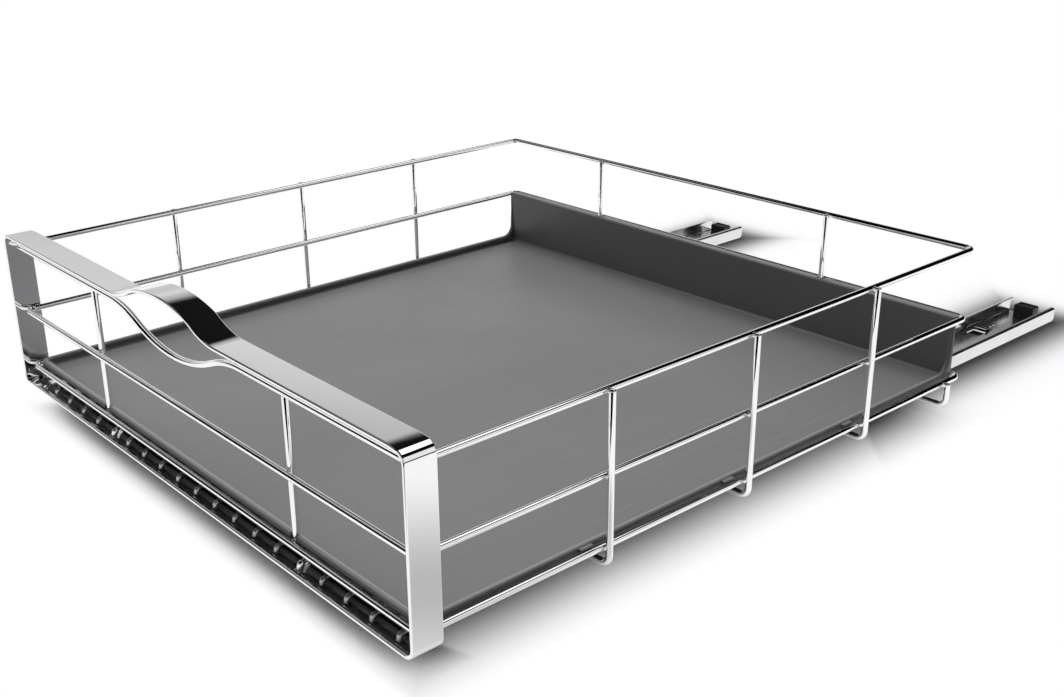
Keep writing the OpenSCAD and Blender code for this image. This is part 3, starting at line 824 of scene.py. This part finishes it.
wires = {
    "thick": 4.5, "floorThick": 4, "bend": 6.25, "floorBend": 4.2,
    "sideX": 249.15, "frontY": 8.6, "backY": 515.75, "topZ": 111.3, "midZ": 58.6, "lowZ": 12.5,
    "hoopX": 253.75, "hoopY": (142.85, 267.15, 391.45), "hoopZ": 2.25, "endZ": 112.8,
    "lowHoopY": 493.75, "lowHoopZ": -3.6, "lowHoopEnd": 14,
    "runnerX": 124.575, "runnerY": (13.2, 511.15), "runnerZ": 6.85, "runnerBay": 5,
    "bays": range(-9, 10), "floorY": (12.95, 511.4), "floorZ": 6.6, "floorEnd": 10.9,
    "dipToe": (67.276, 86.1), "dipLow": (28.92, 129.1), "dipStart": 150, "dipStep": 4.5,
    "stripWeldY": 17.5, "endWeld": (0.05, 0.9),
}
wireRadius = wires["thick"] / 2
rimLevels = (wires["topZ"], wires["midZ"], wires["lowZ"])


def makeRim(name, node, z, start=0, dip=(), stepAngle=9):
    # a closed loop, with a dip in its front run where it has one
    x, front, back = wires["sideX"], wires["frontY"], wires["backY"]
    corners = [(inBasket(start, front, z), 0)]
    for spot in ((x, front), (x, back), (-x, back), (-x, front)):
        corners.append((inBasket(*spot, z), wires["bend"]))
    corners += [(inBasket(dipX, front, z - down), radius) for dipX, down, radius in dip]
    rim = drawWire(name, corners, wireRadius, closed=True, stepAngle=stepAngle)
    outer, weldY = x + wireRadius, wires["stripWeldY"]
    weldTo(rim, [(inBasket(side * outer, weldY, z), (1, 0, 0)) for side in bothSides])
    dress(rim, "chrome_wire", "basket", node)


def makeRims():
    toeX, toeBend = wires["dipToe"]
    lowDown, lowBend = wires["dipLow"]
    dip = ((-toeX, 0, toeBend), (0, lowDown, lowBend), (toeX, 0, toeBend))
    makeRim("middleRim", "middle_rim", wires["midZ"])
    makeRim("bottomRim", "bottom_rim", wires["lowZ"])
    makeRim("topRim", "top_rim", wires["topZ"], wires["dipStart"], dip, wires["dipStep"])


def turnedUp(start, stop, z, end, bend):
    # corners of a wire that runs from one (x, y) to another and turns up at both
    return [(inBasket(*start, end), 0), (inBasket(*start, z), bend),
            (inBasket(*stop, z), bend), (inBasket(*stop, end), 0)]


def makeHoop(name, node, y, z, end, levels, lines=()):
    x = wires["hoopX"]
    touchX = (x + wires["sideX"]) / 2
    hoop = drawWire(name, turnedUp((-x, y), (x, y), z, end, wires["bend"]), wireRadius)
    welds = [(inBasket(side * touchX, y, level), (1, 0, 0)) for side in bothSides for level in levels]
    welds += [(inBasket(line * floorPitch, y, z + wireRadius), (0, 0, 1)) for line in lines]
    weldTo(hoop, welds)
    dress(hoop, "chrome_wire", "basket", node)


def makeHoops():
    for number, y in enumerate(wires["hoopY"], 1):
        name, node = "hoop" + str(number), "hoop_" + str(number)
        makeHoop(name, node, y, wires["hoopZ"], wires["endZ"], rimLevels, wires["bays"])
    y, z, end = (wires[key] for key in ("lowHoopY", "lowHoopZ", "lowHoopEnd"))
    makeHoop("lowHoop", "low_hoop", y, z, end, (wires["lowZ"],))


def makeRunners():
    front, back = wires["runnerY"]
    x = wires["runnerX"]
    corners = turnedUp((x, front), (x, back), wires["runnerZ"], wires["endZ"], wires["bend"])
    runner = drawWire("runnerRight", corners, wireRadius)
    touch = ((front + wires["frontY"]) / 2, (back + wires["backY"]) / 2)
    weldTo(runner, [(inBasket(x, y, level), (0, 1, 0)) for y in touch for level in rimLevels])
    other = copyOf(runner, "runnerLeft", (-2 * x * mm, 0, 0))
    dress(runner, "chrome_wire", "basket", "runner_right")
    dress(other, "chrome_wire", "basket", "runner_left")


def makeFloorWires():
    # one wire, copied across the bays that the runners leave
    radius = wires["floorThick"] / 2
    front, back = wires["floorY"]
    end = wires["floorEnd"]
    outward, down = wires["endWeld"]
    corners = turnedUp((0, front), (0, back), wires["floorZ"], end, wires["floorBend"])
    first = drawWire("floorWire", corners, radius, sides=12)
    weldTo(first, [(inBasket(0, back + radius + outward, end - down), (0, 1, 0))])
    bays = [bay for bay in wires["bays"] if abs(bay) != wires["runnerBay"]]
    for number, bay in enumerate(bays, 1):
        wire = copyOf(first, "floorWire" + str(number), (bay * floorPitch * mm, 0, 0))
        dress(wire, "chrome_floor", "basket", "floor_wire_" + str(number))
    bpy.data.objects.remove(first)


makeRims()
makeHoops()
makeRunners()
makeFloorWires()
bpy.data.objects.remove(weld)
print("wires bent and welded")


# liner: one sheet of grey plastic, drawn by its outside and thickened inwards

linerTray = {
    "halfWide": 246.6, "front": 15.25, "back": 508.6, "under": 9.4, "sheet": 2, "lip": 18, "wallTop": 60.6,
    "flangeBack": 513.2, "floorBend": 5.2, "gusset": 12, "edge": 0.45, "flangeCorner": 3, "topBend": 1.5,
    # rounded rim: its radius, how far it stands out, and its upper ends, which are lower and thinner
    "bead": 1.9, "beadOut": 0.05, "beadDrop": 0.5, "beadThin": 0.5,
    # the rim's forward roll: its ends, how much wider and taller it gets, and where it grows in steps
    "noseFront": 10.4, "noseBack": 25.95, "noseWide": 1.447, "noseTall": 1.47, "noseSteps": (0.9, 0.5, 0.3),
    # cuts for the runners: through the front lip as far as (y, z), and the flange from below its top
    "notchX": 124.575, "notchWide": 6.5, "lipNotch": (20.75, 26), "flangeNotch": (0.3, 6, 66),
    "clipIn": 1.5, "clipOut": 249.15, "clipLow": 15.05, "clipTop": 16.7, "clipLong": 10, "clipEdge": 0.5,
    "clipY": (129.85, 254.15, 378.45),
    # how far the cuts reach past the sheet: sideways, in front and above
    "beyond": (255, 5, 8), "notchBeyond": 2, "flangeBeyond": 1,
}


def makeLinerShell():
    # an open box, bent at its foot
    tray = linerTray
    low = inBasket(-tray["halfWide"], tray["front"], tray["under"])
    high = inBasket(tray["halfWide"], tray["back"], tray["wallTop"])
    shell = addCube("linerTray", low, high)
    edit(shell)
    pick(shell, "FACE", lambda m, f: near(m.z, high.z))
    bpy.ops.mesh.delete(type="ONLY_FACE")
    pick(shell, "EDGE", lambda m, e: near(m.z, low.z) or (near(m.y, low.y) and near(abs(m.x), high.x)))
    roundOff(tray["floorBend"], 8)
    done()
    thicken(shell, tray["sheet"], -1, lambda m: near(m.z, low.z))
    return shell


def makeLinerFlange(liner):
    # the top of the back wall turns over backwards
    tray = linerTray
    top, under = (inBasket(0, 0, tray["wallTop"] - down).z for down in (0, tray["sheet"]))
    back, front = (inBasket(0, tray["back"] - inward, 0).y for inward in (0, tray["sheet"]))
    end = inBasket(0, tray["flangeBack"], 0).y
    edit(liner)
    bpy.ops.mesh.bisect(plane_co=(0, 0, under), plane_no=(0, 0, 1))
    pick(liner, "FACE", lambda m, f: m.z > under and near(m.y, back) and abs(f.normal.y) > 0.9)
    extrude(inCabinet(0, tray["flangeBack"] - tray["back"], 0))
    pick(liner, "EDGE", lambda m, e: near(m.y, end) and near(abs(m.x), tray["halfWide"] * mm))
    roundOff(tray["flangeCorner"], 5)
    pick(liner, "EDGE", lambda m, e: near(m.y, front) and near(m.z, top))
    roundOff(tray["topBend"], 5)
    done()


def makeLinerRoom():
    # what is cut off the open box: all above the lips, up to a rounded corner at the back wall
    tray = linerTray
    sideways, ahead, above = tray["beyond"]
    back, low = tray["back"] - tray["sheet"], tray["lip"] - tray["bead"]
    room = addCube("room", inBasket(-sideways, tray["front"] - ahead, low),
                   inBasket(sideways, back, tray["wallTop"] + above))
    corner = inBasket(0, back, low)
    roundEdges(room, tray["gusset"], 10,
               lambda m, e: near(m.y, corner.y) and near(m.z, corner.z) and near(m.x, 0))
    return room


def makeLinerBead():
    # rounded rim on the front and side lips; it runs up both ends of the back wall and thins out there
    tray = linerTray
    bead, bend, sweep = tray["bead"], tray["floorBend"], tray["gusset"]
    inward = bead - tray["beadOut"]
    x, z = tray["halfWide"] - inward, tray["lip"] - bead
    front, back = tray["front"] + inward, tray["back"] - inward
    top = tray["wallTop"] - tray["sheet"] - tray["beadDrop"]
    right = [(x, back, top, 0), (x, back, z, sweep), (x, front, z, bend)]
    left = [(-x, *rest) for x, *rest in reversed(right)]
    corners = [(inBasket(*spot), radius) for *spot, radius in right + left]
    rim = drawWire("linerBead", corners, bead, sides=20, stepAngle=6)
    height = inBasket(0, 0, top - 1).z
    edit(rim, "VERT")
    for side in bothSides:
        pick(rim, "VERT", lambda m, v: m.z > height and side * m.x > 0)
        stretch((tray["beadThin"], tray["beadThin"], 1), inBasket(side * tray["halfWide"], tray["back"], top))
    # the front lip rolls over forwards, above the ends of the floor wires
    fixed = inBasket(0, tray["noseBack"], tray["lip"])
    rise = tray["noseTall"] ** (1 / len(tray["noseSteps"]))
    for share in tray["noseSteps"]:
        edge = inBasket(0, tray["front"] + share * (tray["noseBack"] - tray["front"]), 0).y
        pick(rim, "VERT", lambda m, v: m.y < edge)
        stretch((1, 1, rise), fixed)
    pick(rim, "VERT", lambda m, v: m.y < fixed.y)
    stretch((1, tray["noseWide"], 1), fixed)
    done()
    return rim


def makeClip(side, y):
    # small rest over the bottom rim's side wire
    tray = linerTray
    left, right = sorted((side * (tray["halfWide"] - tray["clipIn"]), side * tray["clipOut"]))
    half = tray["clipLong"] / 2
    low, high = inBasket(left, y - half, tray["clipLow"]), inBasket(right, y + half, tray["clipTop"])
    clip = addCube("clip", low, high)
    applyModifier(clip, "BEVEL", width=tray["clipEdge"] * mm, segments=2)
    return clip


def makeLiner():
    tray = linerTray
    liner = makeLinerShell()
    cutAway(liner, makeLinerRoom())
    makeLinerFlange(liner)
    bead = makeLinerBead()
    front, under = tray["noseFront"] - tray["notchBeyond"], tray["under"] - tray["notchBeyond"]
    behind, down, over = tray["flangeNotch"]
    for side in bothSides:
        left, right = (side * tray["notchX"] + way * tray["notchWide"] / 2 for way in bothSides)
        for piece in (liner, bead):
            cutAway(piece, addCube("notch", inBasket(left, front, under), inBasket(right, *tray["lipNotch"])))
        cutAway(liner, addCube("notch", inBasket(left, tray["back"] + behind, tray["wallTop"] - down),
                               inBasket(right, tray["flangeBack"] + tray["flangeBeyond"], over)))
        for y in tray["clipY"]:
            joinInto(bead, [makeClip(side, y)])
    finishEdges(liner, tray["edge"])
    cleanUp(bead, 0.001)
    smooth(bead)
    return joinInto(liner, [bead])


dress(makeLiner(), "grey_liner", "basket", "liner_tray")
print("liner formed")


# slides: folded sheet, drawn on the right-hand side and mirrored to the left

slides = {"middleX": 177.5, "steel": 1.2, "edge": 0.22}
channelSheet = {
    "halfWide": 21.5, "base": 0, "rim": 12.7, "front": -120, "back": 380,
    "lip": 3.7, "baseBend": 2.2, "rimBend": 1.9,
    "screwY": (-80, 210), "screw": 2.4, "dimpleX": -7.6, "dimpleY": (325, 330), "dimple": 1.1,
    "squareX": -8.6, "squareHalf": 6, "square": (297.3, 309.3), "squareDeep": (-2, 4),
    # rounded rear corner: radius, its centre's distance from both faces, merge, and past the walls
    "endRound": 7.5, "endInward": 6.75, "endMerge": 0.06, "endBeyond": (30, 2, 1), "endRod": 70,
}
tongueSheet = {
    "halfWide": 5.9, "long": 12, "short": 0.1, "steps": 7, "rise": 3, "sink": 0.02, "steel": 0.9, "edge": 0.2,
}
middleMember = {
    "halfWide": 16.3, "base": 2.4, "rim": 11.2, "front": -226, "back": 194,
    "lip": 3.2, "baseBend": 1.7, "rimBend": 1.6,
}
drawerMember = {
    "halfWide": 11.1, "base": 12.7, "rim": 4.8, "front": -350, "back": 133.7, "lip": 0, "baseBend": 1.6,
    "screwY": (-342.4, -327.2, 106.75, 120.75), "screw": 2.15,
}


def foldedSheet(name, sheet):
    # the base first, then its walls, and lips on them where it has any
    x, base, rim, lip = slides["middleX"], sheet["base"], sheet["rim"], sheet["lip"]
    front, back, halfWide = sheet["front"], sheet["back"], sheet["halfWide"]
    piece = addSheet(name, (x, (front + back) / 2, base), 2 * halfWide, back - front)

    def atWalls(middle, height):
        return near(middle.z, height * mm) and near(abs(middle.x - x * mm), halfWide * mm)

    edit(piece)
    pick(piece, "EDGE", lambda m, e: atWalls(m, base))
    pullEdges(0, 0, rim - base)
    if lip:
        for side in bothSides:
            pick(piece, "EDGE", lambda m, e: near(m.z, rim * mm) and near(m.x, (x + side * halfWide) * mm))
            pullEdges(-side * lip, 0, 0)
        pick(piece, "EDGE", lambda m, e: atWalls(m, rim))
        roundOff(sheet["rimBend"], 4)
    pick(piece, "EDGE", lambda m, e: atWalls(m, base))
    roundOff(sheet["baseBend"], 4)
    done()
    thicken(piece, slides["steel"], 1 if rim > base else -1, lambda m: near(m.z, base * mm), offset=1)
    return piece


def makeTongue():
    # tab lanced out of the base, standing up towards the front
    look = tongueSheet
    start, long, steps = channelSheet["square"][1], look["long"], look["steps"]
    middle = (slides["middleX"] + channelSheet["squareX"], start + long / 2, slides["steel"])
    tongue = addSheet("tongue", middle, 2 * look["halfWide"], long - look["short"])
    edit(tongue)
    for step in range(1, steps):
        selectAll()
        bpy.ops.mesh.bisect(plane_co=inCabinet(0, start + long * step / steps, 0), plane_no=(0, 1, 0))
    lines = sorted({round(v.co.y, 7) for v in bmesh.from_edit_mesh(tongue.data).verts})
    for y in lines:
        share = 1 - (y / mm - start) / long
        rise = look["rise"] * (3 * share ** 2 - 2 * share ** 3) - look["sink"]
        pick(tongue, "VERT", lambda m, v: near(m.y, y, 0.001))
        bpy.ops.transform.translate(value=(0, 0, rise * mm))
    done()
    thicken(tongue, look["steel"], 1, lambda m: True, even=False)
    finishEdges(tongue, look["edge"])
    return tongue


def roundRearCorner(piece):
    # takes the lower rear corner off both walls
    sheet, x = channelSheet, slides["middleX"]
    inward, start = sheet["endInward"], sheet["back"] - sheet["endInward"]
    sideways, behind, below = sheet["endBeyond"]
    low = inCabinet(x - sideways, start, -below)
    high = inCabinet(x + sideways, sheet["back"] + behind, inward)
    block = addCube("corner", low, high)
    drill(block, (x, start, inward), sheet["endRound"], 60, sheet["endRod"], (1, 0, 0))
    cutAway(piece, block)
    cleanUp(piece, sheet["endMerge"])


def makeChannels():
    sheet, x = channelSheet, slides["middleX"]
    channel = foldedSheet("channelRight", sheet)
    for y in sheet["screwY"]:
        drill(channel, (x, y, 0), sheet["screw"], 28)
    for y in sheet["dimpleY"]:
        drill(channel, (x + sheet["dimpleX"], y, 0), sheet["dimple"], 16)
    left, right = (x + sheet["squareX"] + side * sheet["squareHalf"] for side in bothSides)
    (front, back), (low, high) = sheet["square"], sheet["squareDeep"]
    cutAway(channel, addCube("square", inCabinet(left, front, low), inCabinet(right, back, high)))
    roundRearCorner(channel)
    finishEdges(channel, slides["edge"])
    joinInto(channel, [makeTongue()])
    dressBothSides(channel, "zinc_steel", "cabinet_rails", "channel")


def makeMembers():
    middle = foldedSheet("middleMemberRight", middleMember)
    finishEdges(middle, slides["edge"])
    dressBothSides(middle, "zinc_steel", "middle_right", "middle_member")
    drawer = foldedSheet("drawerMemberRight", drawerMember)
    for y in drawerMember["screwY"]:
        drill(drawer, (slides["middleX"], y, drawerMember["base"]), drawerMember["screw"])
    finishEdges(drawer, slides["edge"])
    dressBothSides(drawer, "zinc_steel", "basket", "drawer_member")


makeChannels()
makeMembers()
print("slides folded")


# stops, clamps, brackets and screws

rearStop = {
    "low": (168.5, 364, 1.2), "high": (186.5, 376, 12.4), "edge": 1.4, "fine": 0.2,
    "inset": 1.2, "recess": 0.8,
}
rearClamp = {
    "low": (167.5, 98.75, 12.7), "high": (187.5, 128.75, 20.7), "edge": 1.2, "fine": 0.25,
    "wireY": 113.75, "wireZ": 16.7, "wire": 2.4, "wireHole": 40, "screwY": (106.75, 120.75), "screw": 2.15,
    "screwHole": 20, "split": 0.3, "splitFrom": (100, 80), "splitTo": (250, 150),
}
frontBracket = {
    "halfWide": 10, "front": -375.8, "step": -357.2, "back": -312, "top": 20.3, "foot": 14.2, "thick": 1.5,
    "topBend": 2.2, "footBend": 1, "corner": 4, "screwY": (-342.4, -327.2), "screw": 2.15,
}
panScrew = {
    "head": 3.75, "headHigh": 2.4, "dome": 1.5, "thread": 2, "clampLong": 10.2, "bracketLong": 3.7,
    "recessLong": 2.3, "recessWide": 0.5, "recessDeep": 1.4, "recessFoot": 0.6,
    "sunk": 0.3, "tip": 0.5, "edge": 0.08,
    # how the screws stand turned, so that no two are alike
    "turn": (25, 37, 18),
}


def roundedBlock(name, block, segments):
    # a block with all its edges rounded but those at its foot
    piece = addCube(name, inCabinet(*block["low"]), inCabinet(*block["high"]))
    foot = (block["low"][2] + 0.1) * mm
    roundEdges(piece, block["edge"], segments, lambda m, e: m.z > foot)
    return piece


def makeStops():
    block = rearStop
    stop = roundedBlock("rearStopRight", block, 4)
    edit(stop)
    pick(stop, "FACE", lambda m, f: near(m.z, block["high"][2] * mm))
    bpy.ops.mesh.inset(thickness=block["inset"] * mm)
    extrude(inCabinet(0, 0, -block["recess"]))
    done()
    finishEdges(stop, block["fine"], angle=60)
    dressBothSides(stop, "black_plastic", "cabinet_rails", "rear_stop")


def makeClamps():
    block = rearClamp
    x, z = slides["middleX"], block["wireZ"]
    clamp = roundedBlock("rearClampRight", block, 3)
    drill(clamp, (x, block["wireY"], z), block["wire"], 32, block["wireHole"], (1, 0, 0))
    for y in block["screwY"]:
        drill(clamp, (x, y, z), block["screw"], long=block["screwHole"])
    half = block["split"] / 2
    low, high = inCabinet(*block["splitFrom"], z - half), inCabinet(*block["splitTo"], z + half)
    cutAway(clamp, addCube("split", low, high))
    finishEdges(clamp, block["fine"])
    dressBothSides(clamp, "black_plastic", "basket", "rear_clamp")


def makeBrackets():
    plate, x = frontBracket, slides["middleX"]
    front, step, back, top, foot = (plate[key] for key in ("front", "step", "back", "top", "foot"))
    bracket = addSheet("frontBracketRight", (x, (front + step) / 2, top), 2 * plate["halfWide"], step - front)
    edit(bracket)
    pick(bracket, "EDGE", lambda m, e: near(m.y, step * mm))
    pullEdges(0, 0, foot - top)
    pick(bracket, "EDGE", lambda m, e: near(m.z, foot * mm))
    pullEdges(0, back - step, 0)
    pick(bracket, "EDGE", lambda m, e: near(m.z, top * mm) and near(m.y, step * mm))
    roundOff(plate["topBend"], 4)
    pick(bracket, "EDGE", lambda m, e: near(m.z, foot * mm) and near(m.y, step * mm))
    roundOff(plate["footBend"], 3)
    pick(bracket, "VERT", lambda m, v: near(m.y, front * mm) or near(m.y, back * mm))
    roundOff(plate["corner"], 5, "VERTICES")
    done()
    thicken(bracket, plate["thick"], 1, lambda m: near(m.z, top * mm))
    for y in plate["screwY"]:
        drill(bracket, (x, y, foot), plate["screw"])
    finishEdges(bracket, slides["edge"])
    dressBothSides(bracket, "zinc_steel", "basket", "front_bracket")


def makeScrew(name, long):
    # pan head with a crossed recess, standing on z = 0
    look = panScrew
    top, deep, sunk = look["headHigh"], look["recessDeep"], look["sunk"]
    screw = addRod(name, (0, 0, top / 2), look["head"], top, 36)
    roundEdges(screw, look["dome"], 5, lambda m, e: near(m.z, top * mm))
    arms = (look["recessLong"], look["recessWide"])
    for x, y in (arms, arms[::-1]):
        slot = addCube("recess", inCabinet(-x, -y, top - deep), inCabinet(x, y, top + 1))
        edit(slot, "VERT")
        pick(slot, "VERT", lambda m, v: m.z < (top - deep / 2) * mm)
        stretch((look["recessFoot"], look["recessFoot"], 1), inCabinet(0, 0, top - deep))
        done()
        cutAway(screw, slot)
    shaft = addRod("shaft", (0, 0, (sunk - long) / 2), look["thread"], long + sunk)
    roundEdges(shaft, look["tip"], 2, lambda m, e: near(m.z, -long * mm))
    cutAway(screw, shaft, "UNION")
    finishEdges(screw, look["edge"], segments=1)
    return screw


def makeScrewSet(name, node, long, rows, z):
    # two rows on each slide, joined into one piece
    first = makeScrew(name, long)
    turnFrom, rowTurn, sideTurn = panScrew["turn"]
    screws = []
    for side in bothSides:
        for number, y in enumerate(rows):
            turn = (0, 0, math.radians(turnFrom + rowTurn * number + sideTurn * side))
            screws.append(copyOf(first, "screw", inCabinet(side * slides["middleX"], y, z), turn))
    bpy.data.objects.remove(first)
    joined = joinInto(screws[0], screws[1:])
    joined.name = name
    dress(joined, "screw_steel", "basket", node)


makeStops()
makeClamps()
makeBrackets()
makeScrewSet("clampScrews", "clamp_screws", panScrew["clampLong"], rearClamp["screwY"], rearClamp["high"][2])
makeScrewSet(
    "bracketScrews", "bracket_screws", panScrew["bracketLong"], frontBracket["screwY"], frontBracket["foot"])
print("stops, clamps, brackets and screws made")
